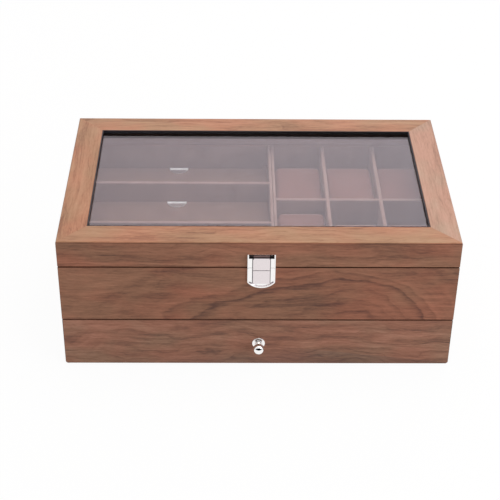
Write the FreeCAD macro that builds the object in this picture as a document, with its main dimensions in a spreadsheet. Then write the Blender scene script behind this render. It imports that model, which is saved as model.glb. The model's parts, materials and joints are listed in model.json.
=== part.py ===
import FreeCAD, Part
import os
import Sketcher

# Watch box with drawer: lid with a glass window, tray with compartments, drawer below.
# Millimetres. X runs to the right, Y to the back, Z up. The origin is at the middle of the underside.

V = FreeCAD.Vector
doc = FreeCAD.newDocument("watch_box")

COLUMNS = 3
QUARTER_TURNS = {"front": 180, "back": 0, "left": 90, "right": -90}
SAME_PLACE = 0.01

SIZES = {
    # whole box
    "box_width": 340,
    "box_depth": 212,
    "box_height": 131.5,
    "wall": 9,
    "lid_height": 25.5,
    "drawer_seam": 49.8,
    "seam_gap": 0.8,
    "edge_round": 1.5,
    "overcut": 1,
    # floors
    "felt": 1,
    "base": 5,
    "tray_floor": 4,
    "lining": 0.8,
    "lining_drop": 1.2,
    # lid frame and window
    "rail_width": 24.4,
    "lip": 3,
    "rabbet": 7,
    "glass": 3,
    "glass_gap": 0.3,
    "bead_width": 6.4,
    "bead_height": 5,
    "trim": 0.6,
    # hinges
    "hinge_x": 100,
    "hinge_width": 32,
    "hinge_leaf": 1,
    "hinge_depth": 7.5,
    "leaf_gap": 0.2,
    "knuckle_radius": 2.2,
    "knuckle_gap": 0.2,
    "hinge_pin_radius": 1,
    "pin_clearance": 0.05,
    "mortise_gap": 0.1,
    "hinge_screw_x": 9.5,
    "screw_head_radius": 1.9,
    "screw_radius": 1,
    "screw_length": 7,
    # tray dividers
    "split_x": 14.55,
    "split_gap": 0.7,
    "insert_wall": 2.2,
    "divider": 2.4,
    "divider_drop": 0.3,
    "lap_gap": 0.1,
    "rear_tray": 67,
    "middle_tray": 64,
    # lift-out panels on the left
    "panel": 3,
    "panel_drop": 19.85,
    "panel_end_gap": 0.7,
    "panel_side_gap": 0.6,
    "panel_rear_gap": 10,
    "support_width": 5,
    "seat_gap": 0.3,
    "pull_radius": 9,
    "pull_thickness": 0.8,
    "pull_lip": 0.8,
    "pull_lip_height": 1.6,
    "pull_inset": 2.5,
    # watch cushions
    "cushion_length": 74,
    "cushion_height": 34,
    "cushion_crown": 5,
    "cushion_corner": 6,
    "cushion_gap": 0.7,
    "cushion_end_gap": 1.7,
    # latch
    "latch_x": 2,
    "latch_width": 23.6,
    "latch_rise": 14.2,
    "latch_fall": 20.3,
    "latch_plate": 1.8,
    "latch_pan": 1,
    "latch_rim": 1,
    "latch_top_rim": 0.6,
    "latch_sag": 5.8,
    "latch_gap": 0.1,
    "flap_width": 14.7,
    "flap_fall": 14.9,
    "flap": 1,
    "flap_neck": 13.4,
    "flap_shoulder": 2.3,
    "crease": 0.4,
    "crease_width": 0.8,
    "crease_fall": 1,
    "barrel_out": 2.7,
    "barrel_rise": 12.4,
    "barrel_radius": 1.3,
    "ear_radius": 1.4,
    "ear_gap": 0.1,
    "latch_pin_radius": 0.6,
    "catch_width": 6,
    "catch_height": 2,
    "catch_out": 0.7,
    "catch_fall": 10,
    "nail_x": 4.5,
    "nail_head": 1.2,
    "nail_head_thickness": 0.4,
    "nail_radius": 0.6,
    "nail_length": 6,
    "lid_nail_rise": 5,
    "case_nail_fall": 5,
    # drawer
    "drawer_foot": 1.2,
    "drawer_corner": 2.5,
    "drawer_board": 6,
    "drawer_side_gap": 0.6,
    "drawer_back_gap": 1,
    "drawer_run_gap": 0.3,
    "drawer_head_gap": 3,
    "drawer_floor": 3,
    "drawer_floor_lift": 0.5,
    "drawer_lining_drop": 2,
    # knob
    "knob_x": 0.8,
    "knob_drop": 1,
    "knob_radius": 4.8,
    "knob_out": 8.4,
    "knob_neck": 2.1,
    "rosette_radius": 5.7,
    "rosette": 1,
    "boss_radius": 3.5,
    "boss": 1.4,
    "knob_screw_radius": 1.5,
    "knob_screw_bite": 4,
    "knob_screw_head": 3.2,
    "knob_screw_head_thickness": 1.6,
}

sheet = doc.addObject("Spreadsheet::Sheet", "Sizes")
for row, (alias, number) in enumerate(SIZES.items(), 1):
    sheet.set("A%d" % row, alias)
    sheet.set("B%d" % row, str(number))
    sheet.setAlias("B%d" % row, alias)
doc.recompute()


# Levels and faces that several pieces share, as expressions over the sheet
front = "(-Sizes.box_depth / 2)"
half_width = "(Sizes.box_width / 2)"
half_depth = "(Sizes.box_depth / 2)"
inner_x = "(Sizes.box_width / 2 - Sizes.wall)"
inner_y = "(Sizes.box_depth / 2 - Sizes.wall)"
lid_seam = "(Sizes.box_height - Sizes.lid_height)"
case_top = f"({lid_seam} - Sizes.seam_gap / 2)"
lid_low = f"({lid_seam} + Sizes.seam_gap / 2)"
bay_top = "(Sizes.drawer_seam + Sizes.seam_gap / 2)"
bay_low = "(Sizes.felt + Sizes.base)"
bay_front = f"({front} + Sizes.wall + Sizes.seam_gap)"
tray_low = f"({bay_top} + Sizes.tray_floor)"
tray_top = f"({case_top} - Sizes.divider_drop)"
seat = f"({tray_low} + Sizes.lining)"
lined_x = f"({inner_x} - Sizes.lining)"
lined_y = f"({inner_y} - Sizes.lining)"
glass_top = "(Sizes.box_height - Sizes.lip)"
glass_low = f"({glass_top} - Sizes.glass)"
flange_low = f"({glass_low} - Sizes.bead_height)"
flange_width = "(Sizes.rail_width - Sizes.rabbet)"


def value(expression):
    """The number that an expression over the sheet comes to."""
    result = sheet.evalExpression(expression)
    return float(getattr(result, "Value", result))


def block(name, x, y, z):
    """A square-edged board between a low and a high bound on each axis."""
    board = doc.addObject("Part::Box", name)
    for axis, edge, (low, high) in zip("xyz", ("Length", "Width", "Height"), (x, y, z)):
        board.setExpression(edge, f"({high}) - ({low})")
        board.setExpression("Placement.Base." + axis, low)
    return board


def across(middle, half):
    """The bounds of something that reaches half to each side of its middle."""
    return f"{middle} - {half}", f"{middle} + {half}"


def rod(name, axis, centre, radius, span):
    """A round bar along one axis, between the bounds of span."""
    bar = doc.addObject("Part::Cylinder", name)
    turn = {"x": (V(0, 1, 0), 90), "y": (V(1, 0, 0), -90), "z": (V(0, 0, 1), 0)}[axis]
    bar.Placement = FreeCAD.Placement(V(), FreeCAD.Rotation(*turn))
    bar.setExpression("Radius", radius)
    bar.setExpression("Height", f"({span[1]}) - ({span[0]})")
    start = dict(zip("xyz", centre))
    start[axis] = span[0]
    for name_of_axis, expression in start.items():
        bar.setExpression("Placement.Base." + name_of_axis, expression)
    return bar


def mitred(name, side, reach, spread, thickness, z):
    """A board mitred at both ends, its outer face at reach from the middle and 2 * spread long."""
    board = doc.addObject("Part::Wedge", name)
    inner = f"({spread} - {thickness})"
    for key, expression in {
        "Xmin": f"-{inner}",
        "Xmax": inner,
        "Ymin": f"{reach} - {thickness}",
        "Ymax": reach,
        "Zmin": z[0],
        "Zmax": z[1],
        "X2min": f"-{spread}",
        "X2max": spread,
        "Z2min": z[0],
        "Z2max": z[1],
    }.items():
        board.setExpression(key, expression)
    board.Placement = FreeCAD.Placement(V(), FreeCAD.Rotation(V(0, 0, 1), QUARTER_TURNS[side]))
    return board


def mitred_ring(name, reach_x, reach_y, thickness, z):
    """Four mitred boards that go round a rectangle."""
    long_way, short_way = (reach_y, reach_x), (reach_x, reach_y)
    spans = {"front": long_way, "back": long_way, "left": short_way, "right": short_way}
    return [mitred(f"{name}_{side}", side, *spans[side], thickness, z) for side in QUARTER_TURNS]


def cut(name, base, *tools):
    """The base without the tools."""
    result = doc.addObject("Part::Cut", name)
    result.Base = base
    result.Tool = tools[0] if len(tools) == 1 else group(name + "_tools", *tools)
    return result


def join(name, *shapes):
    """The shapes as one solid."""
    result = doc.addObject("Part::MultiFuse", name)
    result.Shapes = list(shapes)
    result.Refine = True
    return result


def common(name, *shapes):
    """What the shapes share."""
    result = doc.addObject("Part::MultiCommon", name)
    result.Shapes = list(shapes)
    return result


def group(name, *shapes):
    """Like pieces kept together as separate solids."""
    result = doc.addObject("Part::Compound", name)
    result.Links = list(shapes)
    return result


def outline(body, name, plane, corners):
    """A closed sketch with straight runs from corner to corner, each corner bound to the sheet."""
    sketch = body.newObject("Sketcher::SketchObject", name)
    support = [feature for feature in body.Origin.OriginFeatures if feature.Role == plane][0]
    sketch.AttachmentSupport = (support, [""])
    sketch.MapMode = "FlatFace"
    places = [V(value(x), value(y), 0) for x, y in corners]
    count = len(corners)
    for i, place in enumerate(places):
        sketch.addGeometry(Part.LineSegment(place, places[(i + 1) % count]))
    for i in range(count):
        sketch.addConstraint(Sketcher.Constraint("Coincident", i, 2, (i + 1) % count, 1))
    for i, corner in enumerate(corners):
        for kind, expression, number in zip(("DistanceX", "DistanceY"), corner, places[i]):
            index = sketch.addConstraint(Sketcher.Constraint(kind, -1, 1, i, 1, number))
            label = "%s%d" % (kind[-1].lower(), i)
            sketch.renameConstraint(index, label)
            sketch.setExpression("Constraints." + label, expression)
    return sketch


def edges_of(feature, test):
    """The names of a feature's edges that pass a test."""
    doc.recompute()
    return ["Edge%d" % number for number, edge in enumerate(feature.Shape.Edges, 1) if test(edge)]


pieces = {}


def piece(label, shape):
    """Names a finished piece, which also names its file."""
    shape.Label = label
    pieces[label] = shape
    return shape


# Felt sheet glued under the box
piece("base_felt", block(
    "felt_sheet", across(0, half_width), (bay_front, half_depth), ("0", "Sizes.felt")
))

# Base board between the side boards, on which the drawer runs
piece("base_board", block(
    "base_panel", across(0, inner_x), (bay_front, inner_y), ("Sizes.felt", bay_low)
))

# Side boards, mitred at both ends, cut away at the front for the drawer front
drawer_cheek = block(
    "drawer_cheek",
    across(0, f"({half_width} + Sizes.overcut)"),
    (f"{front} - Sizes.overcut", bay_front),
    ("0", bay_top),
)
for side in ("left", "right"):
    board = mitred(f"side_{side}", side, half_width, half_depth, "Sizes.wall", ("Sizes.felt", case_top))
    piece(f"case_side_{side}", cut(f"side_{side}_cut", board, drawer_cheek))

# Front board of the middle tier
piece("case_front", mitred(
    "front_board", "front", half_depth, half_width, "Sizes.wall", (bay_top, case_top)
))

# Tray floor, the roof of the drawer bay
piece("tray_floor", block(
    "floor_panel", across(0, inner_x), across(0, inner_y), (bay_top, tray_low)
))

# Velvet on the floor and walls of the tray
lining_walls = mitred_ring(
    "tray_lining", inner_x, inner_y, "Sizes.lining", (seat, f"{case_top} - Sizes.lining_drop")
)
lining_floor = block("tray_lining_floor", across(0, inner_x), across(0, inner_y), (tray_low, seat))
piece("tray_lining", group("tray_lining_group", lining_floor, *lining_walls))

# Two divider boards side by side between the left and the right half of the tray
trays_low = f"(-{lined_x})"
trays_high = "(Sizes.split_x - Sizes.split_gap / 2 - Sizes.insert_wall)"
slots_low = "(Sizes.split_x + Sizes.split_gap / 2 + Sizes.insert_wall)"
slots_high = lined_x
divider_z = (seat, tray_top)
piece("centre_divider_left", block(
    "centre_left", (trays_high, f"{trays_high} + Sizes.insert_wall"), across(0, lined_y), divider_z
))
piece("centre_divider_right", block(
    "centre_right", (f"{slots_low} - Sizes.insert_wall", slots_low), across(0, lined_y), divider_z
))

# Two long dividers make three glasses trays on the left. The front tray takes the depth that the others leave.
rear_low = f"({lined_y} - Sizes.rear_tray)"
middle_high = f"({rear_low} - Sizes.divider)"
middle_low = f"({middle_high} - Sizes.middle_tray)"
front_high = f"({middle_low} - Sizes.divider)"
TRAYS = {
    "front": (f"(-{lined_y})", front_high),
    "middle": (middle_low, middle_high),
    "rear": (rear_low, lined_y),
}
for label, y in {"front": (front_high, middle_low), "rear": (middle_high, rear_low)}.items():
    piece(f"tray_divider_{label}", block(
        f"tray_divider_board_{label}", (trays_low, trays_high), y, divider_z
    ))

# Row and column dividers make six watch slots on the right, half-lapped where they cross
slot_width = f"(({slots_high} - {slots_low} - {COLUMNS - 1} * Sizes.divider) / {COLUMNS})"
half_divider = "Sizes.divider / 2"
lap_z = f"(({seat} + {tray_top}) / 2)"


def slot_bounds(column):
    """Left and right face of a watch slot, counted from the left."""
    low = f"({slots_low} + {column} * ({slot_width} + Sizes.divider))"
    return low, f"({low} + {slot_width})"


row_board = block("row_board", (slots_low, slots_high), across(0, half_divider), divider_z)
row_notches = []
for column in range(COLUMNS - 1):
    low = slot_bounds(column)[1]
    x = (low, f"{low} + Sizes.divider")
    board = block(f"column_board_{column + 1}", x, across(0, lined_y), divider_z)
    notch = block(
        f"column_notch_{column + 1}",
        (f"{x[0]} - Sizes.overcut", f"{x[1]} + Sizes.overcut"),
        across(0, f"({half_divider} + Sizes.lap_gap)"),
        (f"{seat} - Sizes.overcut", lap_z),
    )
    piece(f"column_divider_{column + 1}", cut(f"column_cut_{column + 1}", board, notch))
    row_notches.append(block(
        f"row_notch_{column + 1}",
        (f"{x[0]} - Sizes.lap_gap", f"{x[1]} + Sizes.lap_gap"),
        across(0, f"({half_divider} + Sizes.overcut)"),
        (lap_z, f"{tray_top} + Sizes.overcut"),
    ))
piece("row_divider", cut("row_cut", row_board, *row_notches))

# Supports at both ends of each glasses tray, and the velvet panel on them with its half-moon pull.
# The rear panel leaves a finger gap behind it.
panel_top = f"({tray_top} - Sizes.panel_drop)"
panel_low = f"({panel_top} - Sizes.panel)"
support_z = (seat, f"{panel_low} - Sizes.seat_gap")
supports = []
for label, (low, high) in TRAYS.items():
    for end, x in {
        "left": (trays_low, f"{trays_low} + Sizes.support_width"),
        "right": (f"{trays_high} - Sizes.support_width", trays_high),
    }.items():
        supports.append(block(f"support_{label}_{end}", x, (low, high), support_z))
    back_gap = "Sizes.panel_rear_gap" if label == "rear" else "Sizes.panel_side_gap"
    panel_back = f"({high} - {back_gap})"
    piece(f"glasses_panel_{label}", block(
        f"panel_{label}",
        (f"{trays_low} + Sizes.panel_end_gap", f"{trays_high} - Sizes.panel_end_gap"),
        (f"{low} + Sizes.panel_side_gap", panel_back),
        (panel_low, panel_top),
    ))
    disc = doc.addObject("Part::Cylinder", f"half_moon_{label}")
    disc.Angle = 180
    disc.Placement = FreeCAD.Placement(V(), FreeCAD.Rotation(V(0, 0, 1), 180))
    pull_x = f"(({trays_low} + {trays_high}) / 2)"
    pull_back = f"({panel_back} - Sizes.pull_inset)"
    disc.setExpression("Radius", "Sizes.pull_radius")
    disc.setExpression("Height", "Sizes.pull_thickness")
    disc.setExpression("Placement.Base.x", pull_x)
    disc.setExpression("Placement.Base.y", pull_back)
    disc.setExpression("Placement.Base.z", panel_top)
    lip = block(
        f"pull_lip_{label}",
        across(pull_x, "Sizes.pull_radius"),
        (f"{pull_back} - Sizes.pull_lip", pull_back),
        (panel_top, f"{panel_top} + Sizes.pull_lip_height"),
    )
    piece(f"panel_pull_{label}", join(f"pull_{label}", disc, lip))
piece("panel_supports", group("support_group", *supports))


def cushion_section(y, half, rise, crown, corner, x, z):
    """A closed section of a cushion: flat below, rounded corners, crowned above."""
    slant = corner * (1 - 0.5 ** 0.5)
    flat, shoulder = half - corner, rise - corner

    def at(dx, dz):
        return V(x + dx, y, z + dz)

    return Part.Wire([edge.toShape() for edge in (
        Part.LineSegment(at(-flat, 0), at(flat, 0)),
        Part.Arc(at(flat, 0), at(half - slant, slant), at(half, corner)),
        Part.LineSegment(at(half, corner), at(half, shoulder)),
        Part.Arc(at(half, shoulder), at(half - slant, rise - slant), at(flat, rise)),
        Part.Arc(at(flat, rise), at(0, rise + crown), at(-flat, rise)),
        Part.Arc(at(-flat, rise), at(slant - half, rise - slant), at(-half, shoulder)),
        Part.LineSegment(at(-half, shoulder), at(-half, corner)),
        Part.Arc(at(-half, corner), at(slant - half, slant), at(-flat, 0)),
    )])


# Watch cushions. Each draws in towards its two ends, and its top is crowned.
# A section's place along the cushion, as a share of its length, and its size there.
SECTIONS = {-0.5: 0.86, -0.4: 0.965, 0: 1, 0.4: 0.965, 0.5: 0.86}
cushion_length = value("Sizes.cushion_length")
for depth_row in ("front", "rear"):
    for column in range(COLUMNS):
        low, high = (value(bound) for bound in slot_bounds(column))
        if depth_row == "rear":
            start = value(f"{half_divider} + Sizes.cushion_end_gap")
        elif column == 0:
            start = value(f"-{half_divider} - Sizes.cushion_end_gap - Sizes.cushion_length")
        else:
            start = value(f"-{lined_y} + Sizes.cushion_end_gap")
        half = (high - low) / 2 - value("Sizes.cushion_gap")
        sections = [
            cushion_section(
                start + (0.5 + station) * cushion_length,
                half * shrink,
                value("Sizes.cushion_height") * shrink,
                value("Sizes.cushion_crown") * shrink,
                value("Sizes.cushion_corner"),
                (low + high) / 2,
                value(f"{seat} + Sizes.seat_gap"),
            )
            for station, shrink in SECTIONS.items()
        ]
        cushion = doc.addObject("Part::Feature", f"cushion_{depth_row}_{column + 1}")
        cushion.Shape = Part.makeLoft(sections, True, False)
        piece(f"watch_cushion_{depth_row}_{column + 1}", cushion)

# Hinges: two butt hinges let into the back board and the back rail. The middle knuckle is the lid's.
pin_y = f"({half_depth} + Sizes.knuckle_radius + Sizes.knuckle_gap)"
pin_z = lid_seam
leaf_start = f"({half_depth} - Sizes.hinge_depth)"
leaf_z = {
    "case": (f"({pin_z} - Sizes.leaf_gap / 2 - Sizes.hinge_leaf)", f"({pin_z} - Sizes.leaf_gap / 2)"),
    "lid": (f"({pin_z} + Sizes.leaf_gap / 2)", f"({pin_z} + Sizes.leaf_gap / 2 + Sizes.hinge_leaf)"),
}
half_hinge = "Sizes.hinge_width / 2"
half_knuckle = "Sizes.hinge_width / 6"
screw_y = f"({half_depth} - Sizes.wall / 2)"
hinge_screws = {"case": [], "lid": []}
mortises = {"case": [], "lid": []}
hinge_pins = []
for hand, sign in (("left", "-"), ("right", "")):
    middle = f"({sign}Sizes.hinge_x)"
    bridges = {
        "case": [
            (f"{middle} - {half_hinge}", f"{middle} - {half_knuckle} - Sizes.knuckle_gap"),
            (f"{middle} + {half_knuckle} + Sizes.knuckle_gap", f"{middle} + {half_hinge}"),
        ],
        "lid": [across(middle, half_knuckle)],
    }
    pin_axis = (middle, pin_y, pin_z)
    hinge_pins.append(rod(
        f"pin_{hand}", "x", pin_axis, "Sizes.hinge_pin_radius", across(middle, half_hinge)
    ))
    for owner, z in leaf_z.items():
        plate = block(f"plate_{owner}_{hand}", across(middle, half_hinge), (leaf_start, half_depth), z)
        knuckles = []
        for number, x in enumerate(bridges[owner]):
            knuckles.append(block(f"bridge_{owner}_{hand}_{number}", x, (half_depth, pin_y), z))
            knuckles.append(rod(
                f"knuckle_{owner}_{hand}_{number}", "x", pin_axis, "Sizes.knuckle_radius", x
            ))
        clearance = "Sizes.pin_clearance" if owner == "lid" else "0"
        bore = rod(
            f"bore_{owner}_{hand}", "x", pin_axis,
            f"Sizes.hinge_pin_radius + {clearance}", across(middle, f"({half_hinge} + Sizes.overcut)"),
        )
        screws = []
        for number, offset in enumerate(("-", "+")):
            x = f"({middle} {offset} Sizes.hinge_screw_x)"
            head = doc.addObject("Part::Cone", f"head_{owner}_{hand}_{number}")
            radii = ("Sizes.screw_radius", "Sizes.screw_head_radius")
            shank_z = (f"{z[0]} - Sizes.screw_length", z[0])
            if owner == "lid":
                radii = radii[::-1]
                shank_z = (z[1], f"{z[1]} + Sizes.screw_length")
            head.setExpression("Radius1", radii[0])
            head.setExpression("Radius2", radii[1])
            head.setExpression("Height", "Sizes.hinge_leaf")
            for axis, expression in zip("xyz", (x, screw_y, z[0])):
                head.setExpression("Placement.Base." + axis, expression)
            shank = rod(
                f"shank_{owner}_{hand}_{number}", "z", (x, screw_y, "0"), "Sizes.screw_radius", shank_z
            )
            screws.append(join(f"screw_{owner}_{hand}_{number}", head, shank))
        blank = join(f"leaf_{owner}_{hand}", plate, *knuckles)
        piece(f"hinge_{owner}_leaf_{hand}", cut(f"leaf_{owner}_{hand}_cut", blank, bore, *screws))
        hinge_screws[owner] += screws
        mortises[owner].append(block(
            f"mortise_{owner}_{hand}",
            across(middle, f"({half_hinge} + Sizes.mortise_gap)"),
            (f"{leaf_start} - Sizes.mortise_gap", f"{half_depth} + Sizes.overcut"),
            (z[0], f"{pin_z} + Sizes.overcut") if owner == "case" else (f"{pin_z} - Sizes.overcut", z[1]),
        ))
piece("hinge_pins", group("hinge_pin_group", *hinge_pins))
for owner in ("case", "lid"):
    piece(f"hinge_screws_{owner}", group(f"hinge_screw_group_{owner}", *hinge_screws[owner]))

# Back board, full height, mortised for the hinges
back_board = mitred("back_board", "back", half_depth, half_width, "Sizes.wall", ("Sizes.felt", case_top))
piece("case_back", cut("case_back_cut", back_board, *mortises["case"], *hinge_screws["case"]))


def lid_rail(side, reach, spread):
    """A mitred rail of the lid: wall, flange over the tray and a rabbet below the lip for the glass."""
    body = doc.addObject("PartDesign::Body", f"rail_{side}")
    profile = outline(body, f"rail_{side}_profile", "YZ_Plane", [
        (reach, lid_low),
        (reach, "Sizes.box_height"),
        (f"{reach} - Sizes.rail_width", "Sizes.box_height"),
        (f"{reach} - Sizes.rail_width", glass_top),
        (f"{reach} - {flange_width}", glass_top),
        (f"{reach} - {flange_width}", flange_low),
        (f"{reach} - Sizes.wall", flange_low),
        (f"{reach} - Sizes.wall", lid_low),
    ])
    pad = body.newObject("PartDesign::Pad", f"rail_{side}_length")
    pad.Profile = profile
    pad.SideType = "Symmetric"
    pad.setExpression("Length", f"2 * {spread}")
    inward = "(Sizes.rail_width + Sizes.overcut)"
    for hand, sign in (("left", "-"), ("right", "")):
        mitre = outline(body, f"rail_{side}_mitre_{hand}", "XY_Plane", [
            (f"{sign}({spread} + Sizes.overcut)", f"{reach} + Sizes.overcut"),
            (f"{sign}({spread} + Sizes.overcut)", f"{reach} - {inward}"),
            (f"{sign}({spread} - {inward})", f"{reach} - {inward}"),
        ])
        pocket = body.newObject("PartDesign::Pocket", f"rail_{side}_end_{hand}")
        pocket.Profile = mitre
        pocket.Type = "ThroughAll"
        pocket.SideType = "Symmetric"
    outer, top = value(reach), value("Sizes.box_height")
    rounding = body.newObject("PartDesign::Fillet", f"rail_{side}_round")
    rounding.Base = (pocket, edges_of(pocket, lambda edge: all(
        max(abs(vertex.Y - outer), abs(vertex.Z - top)) < SAME_PLACE for vertex in edge.Vertexes
    )))
    rounding.setExpression("Radius", "Sizes.edge_round")
    body.Placement = FreeCAD.Placement(V(), FreeCAD.Rotation(V(0, 0, 1), QUARTER_TURNS[side]))
    return body


# Lid frame
for side in ("front", "left", "right"):
    spans = (half_depth, half_width) if side == "front" else (half_width, half_depth)
    piece(f"lid_rail_{side}", lid_rail(side, *spans))
back_rail = lid_rail("back", half_depth, half_width)
piece("lid_rail_back", cut("lid_back_cut", back_rail, *mortises["lid"], *hinge_screws["lid"]))

# Window: black trim on the edge of the opening, pane in the rabbet, beads below the pane
piece("glass_trim", group("glass_trim_group", *mitred_ring(
    "trim",
    f"({half_width} - Sizes.rail_width)",
    f"({half_depth} - Sizes.rail_width)",
    "Sizes.trim",
    (glass_top, "Sizes.box_height"),
)))
piece("glass_pane", block(
    "pane",
    across(0, f"({half_width} - {flange_width} - Sizes.glass_gap)"),
    across(0, f"({half_depth} - {flange_width} - Sizes.glass_gap)"),
    (glass_low, glass_top),
))
piece("glass_beads", group("glass_bead_group", *mitred_ring(
    "bead",
    f"({half_width} - {flange_width})",
    f"({half_depth} - {flange_width})",
    "Sizes.bead_width",
    (flange_low, glass_low),
)))

# Velvet on the inner walls of the lid
piece("lid_lining", group("lid_lining_group", *mitred_ring(
    "lid_lining", inner_x, inner_y, "Sizes.lining", (lid_low, flange_low)
)))

# Latch: a shallow plate with a raised rim on the lid, and its rounded lower half on the case. The upper corners of
# the plate are rolled into knuckles for the pin.
latch_half = "(Sizes.latch_width / 2)"
pan_half = "(Sizes.latch_width / 2 - Sizes.latch_rim)"
neck_half = "(Sizes.flap_neck / 2)"
ear_start = f"({neck_half} + Sizes.ear_gap)"
ear_end = f"({pan_half} - Sizes.ear_gap)"
plate_front = f"({front} - Sizes.latch_plate)"
pan_front = f"({plate_front} + Sizes.latch_pan)"
barrel_y = f"({front} - Sizes.barrel_out)"
latch_top = f"({lid_seam} + Sizes.latch_rise)"
latch_low = f"({lid_seam} - Sizes.latch_fall)"
plate_low = f"({lid_seam} + Sizes.latch_gap)"
keeper_top = f"({lid_seam} - Sizes.latch_gap)"
barrel_z = f"({lid_seam} + Sizes.barrel_rise)"
barrel_axis = ("Sizes.latch_x", barrel_y, barrel_z)

lid_blank = block(
    "lid_plate_blank", across("Sizes.latch_x", latch_half), (plate_front, front), (plate_low, latch_top)
)
lid_pan = block(
    "lid_plate_pan",
    across("Sizes.latch_x", pan_half),
    (f"{plate_front} - Sizes.overcut", pan_front),
    (f"{plate_low} - Sizes.overcut", f"{latch_top} - Sizes.latch_top_rim"),
)
ears = []
for hand, x in {
    "left": (f"Sizes.latch_x - {ear_end}", f"Sizes.latch_x - {ear_start}"),
    "right": (f"Sizes.latch_x + {ear_start}", f"Sizes.latch_x + {ear_end}"),
}.items():
    ears.append(block(f"ear_{hand}", x, (barrel_y, pan_front), across(barrel_z, "Sizes.ear_radius")))
    ears.append(rod(f"ear_round_{hand}", "x", barrel_axis, "Sizes.ear_radius", x))
pin_bore = rod(
    "ear_bore", "x", barrel_axis, "Sizes.latch_pin_radius", across("Sizes.latch_x", latch_half)
)


def nails(owner, height):
    """Two flat-headed nails side by side behind the flap."""
    result = []
    for hand, sign in (("left", "-"), ("right", "+")):
        x = f"Sizes.latch_x {sign} Sizes.nail_x"
        head = rod(
            f"nail_head_{owner}_{hand}", "y", (x, "0", height), "Sizes.nail_head",
            (f"{pan_front} - Sizes.nail_head_thickness", pan_front),
        )
        shank = rod(
            f"nail_shank_{owner}_{hand}", "y", (x, "0", height), "Sizes.nail_radius",
            (pan_front, f"{pan_front} + Sizes.nail_length"),
        )
        result.append(join(f"nail_{owner}_{hand}", head, shank))
    return result


lid_nails = nails("lid", f"{lid_seam} + Sizes.lid_nail_rise")
case_nails = nails("case", f"{lid_seam} - Sizes.case_nail_fall")
piece("latch_nails_lid", group("latch_nail_group_lid", *lid_nails))
piece("latch_nails_case", group("latch_nail_group_case", *case_nails))
lid_plate = join("lid_plate_joined", cut("lid_plate_open", lid_blank, lid_pan), *ears)
piece("latch_plate", cut("lid_plate_bored", lid_plate, pin_bore, *lid_nails))


def shield(name, inset, y):
    """The lower half of the latch outline: straight sides, one arc below."""
    radius = f"(({latch_half}^2 + Sizes.latch_sag^2) / (2 * Sizes.latch_sag))"
    square = block(
        name + "_square", across("Sizes.latch_x", f"({latch_half} - {inset})"), y,
        (f"{latch_low} + {inset}", keeper_top),
    )
    arc = rod(
        name + "_arc", "y", ("Sizes.latch_x", "0", f"{latch_low} + {radius}"), f"{radius} - {inset}", y
    )
    return common(name, square, arc)


keeper_blank = shield("keeper_blank", "0", (plate_front, front))
keeper_pan = shield("keeper_pan", "Sizes.latch_rim", (f"{plate_front} - Sizes.overcut", pan_front))
catch = block(
    "catch",
    across("Sizes.latch_x", "Sizes.catch_width / 2"),
    (f"{pan_front} - Sizes.catch_out", pan_front),
    (f"{lid_seam} - Sizes.catch_fall", f"{lid_seam} - Sizes.catch_fall + Sizes.catch_height"),
)
keeper = join("keeper_joined", cut("keeper_open", keeper_blank, keeper_pan), catch)
piece("latch_keeper", cut("keeper_bored", keeper, *case_nails))

# Flap on a pin between the ears, creased across the middle
flap_y = (f"{barrel_y} - Sizes.flap / 2", f"{barrel_y} + Sizes.flap / 2")
shoulder_z = f"({barrel_z} - Sizes.flap_shoulder)"
flap_blank = join(
    "flap_joined",
    block("flap_sheet", across("Sizes.latch_x", "Sizes.flap_width / 2"), flap_y,
          (f"{lid_seam} - Sizes.flap_fall", shoulder_z)),
    block("flap_neck", across("Sizes.latch_x", neck_half), flap_y, (shoulder_z, barrel_z)),
    rod("flap_barrel", "x", barrel_axis, "Sizes.barrel_radius", across("Sizes.latch_x", neck_half)),
)
flap_crease = block(
    "flap_crease",
    across("Sizes.latch_x", "Sizes.flap_width"),
    (f"{flap_y[0]} - Sizes.overcut", f"{flap_y[0]} + Sizes.crease"),
    across(f"{lid_seam} - Sizes.crease_fall", "Sizes.crease_width / 2"),
)
flap_bore = rod(
    "flap_bore", "x", barrel_axis, "Sizes.latch_pin_radius + Sizes.pin_clearance",
    across("Sizes.latch_x", latch_half),
)
piece("latch_flap", cut("flap_finished", flap_blank, flap_crease, flap_bore))
piece("latch_pin", rod(
    "latch_pin_rod", "x", barrel_axis, "Sizes.latch_pin_radius", across("Sizes.latch_x", ear_end)
))

# Nail holes in the two boards behind the latch
for label, shanks in (("lid_rail_front", lid_nails), ("case_front", case_nails)):
    board = pieces[label]
    board.Label = label + "_board"
    piece(label, cut(label + "_nailed", board, *shanks))

# Drawer front, full width, its lower corners rounded
front_body = doc.addObject("PartDesign::Body", "drawer_front_body")
front_low = "(Sizes.drawer_foot)"
front_high = "(Sizes.drawer_seam - Sizes.seam_gap / 2)"
front_outline = outline(front_body, "drawer_front_outline", "XZ_Plane", [
    (f"-{half_width}", front_low),
    (half_width, front_low),
    (half_width, front_high),
    (f"-{half_width}", front_high),
])
front_pad = front_body.newObject("PartDesign::Pad", "drawer_front_pad")
front_pad.Profile = front_outline
front_pad.setExpression("Length", "Sizes.wall")
foot = value(front_low)
front_round = front_body.newObject("PartDesign::Fillet", "drawer_front_round")
front_round.Base = (front_pad, edges_of(front_pad, lambda edge: (
    all(abs(vertex.Z - foot) < SAME_PLACE for vertex in edge.Vertexes)
    and abs(edge.Vertexes[0].X - edge.Vertexes[-1].X) < SAME_PLACE
)))
front_round.setExpression("Radius", "Sizes.drawer_corner")
front_body.setExpression("Placement.Base.y", f"{front} + Sizes.wall")

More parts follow.
